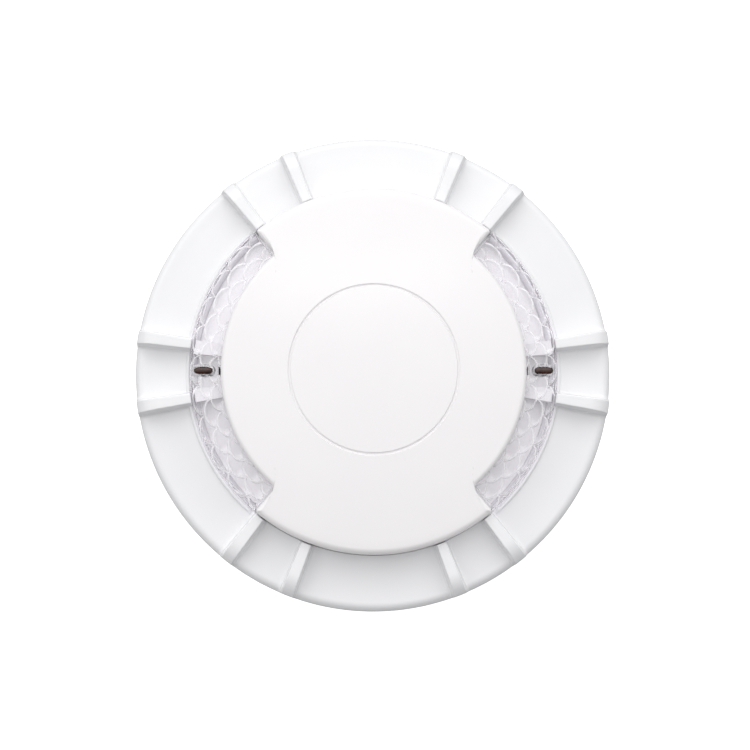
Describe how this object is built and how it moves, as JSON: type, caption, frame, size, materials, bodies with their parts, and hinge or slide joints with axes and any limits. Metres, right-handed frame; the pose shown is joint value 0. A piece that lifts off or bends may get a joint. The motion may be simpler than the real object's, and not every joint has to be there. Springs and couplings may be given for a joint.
{
  "type": "heat detector",
  "caption": "Round ceiling heat detector with exposed sensor beads, clear beacon lenses, a ribbed sounder skirt and a twist-off mounting base.",
  "frame": {"origin": "centre of the mounting base's back face", "axes": "+Z out of the ceiling through the front cover, +X through the middle of one lens, +Y towards the sector between the lenses that is at the top of the picture"},
  "size_m": [0.17, 0.17, 0.048],
  "materials": {
    "housing_white": "gloss",
    "housing_rear": "satin",
    "base_white": "satin",
    "lens_clear": "gloss",
    "tray_white": "satin",
    "led_ceramic": "gloss",
    "bead_resin": "gloss",
    "tinned_wire": "satin",
    "board_green": "satin",
    "connector_black": "matte",
    "can_aluminium": "satin",
    "screw_steel": "satin",
    "contact_steel": "satin",
    "seal_rubber": "matte",
    "diaphragm_brass": "satin",
    "piezo_ceramic": "matte",
    "switch_blue": "satin",
    "slider_white": "satin"
  },
  "bodies": {
    "base": {"mounting_base": "base_white", "base_contacts": "contact_steel", "terminal_clamps": "contact_steel", "terminal_screws": "screw_steel"},
    "head": {"skirt": "housing_white", "front_cover": "housing_white", "lens_left": "lens_clear", "lens_right": "lens_clear", "light_tray_left": "tray_white", "light_tray_right": "tray_white", "beacon_leds": "led_ceramic", "thermistor_beads": "bead_resin", "thermistor_leads": "tinned_wire", "front_board": "board_green", "rear_board": "board_green", "board_link": "connector_black", "microcontroller": "connector_black", "capacitors": "can_aluminium", "sounder_coil": "connector_black", "rear_housing": "housing_rear", "housing_screws": "screw_steel", "seal_ring": "seal_rubber", "contact_blades": "contact_steel", "contact_rivets": "contact_steel", "sounder_cup": "tray_white", "sounder_diaphragm": "diaphragm_brass", "sounder_ceramic": "piezo_ceramic", "sounder_clamp_ring": "tray_white", "switch_body": "switch_blue"},
    "slider_1": {"switch_slider_1": "slider_white"},
    "slider_2": {"switch_slider_2": "slider_white"},
    "slider_3": {"switch_slider_3": "slider_white"},
    "slider_4": {"switch_slider_4": "slider_white"}
  },
  "joints": [
    {"name": "head_twist", "type": "hinge", "parent": "base", "child": "head", "pos_m": [0, 0, 0], "axis": [0, 0, 1], "range_deg": [0, 20]},
    {"name": "switch_slide_1", "type": "slide", "parent": "head", "child": "slider_1", "axis": [0, 1, 0], "range_m": [0, 0.0012]},
    {"name": "switch_slide_2", "type": "slide", "parent": "head", "child": "slider_2", "axis": [0, 1, 0], "range_m": [0, 0.0012]},
    {"name": "switch_slide_3", "type": "slide", "parent": "head", "child": "slider_3", "axis": [0, 1, 0], "range_m": [0, 0.0012]},
    {"name": "switch_slide_4", "type": "slide", "parent": "head", "child": "slider_4", "axis": [0, 1, 0], "range_m": [0, 0.0012]}
  ]
}
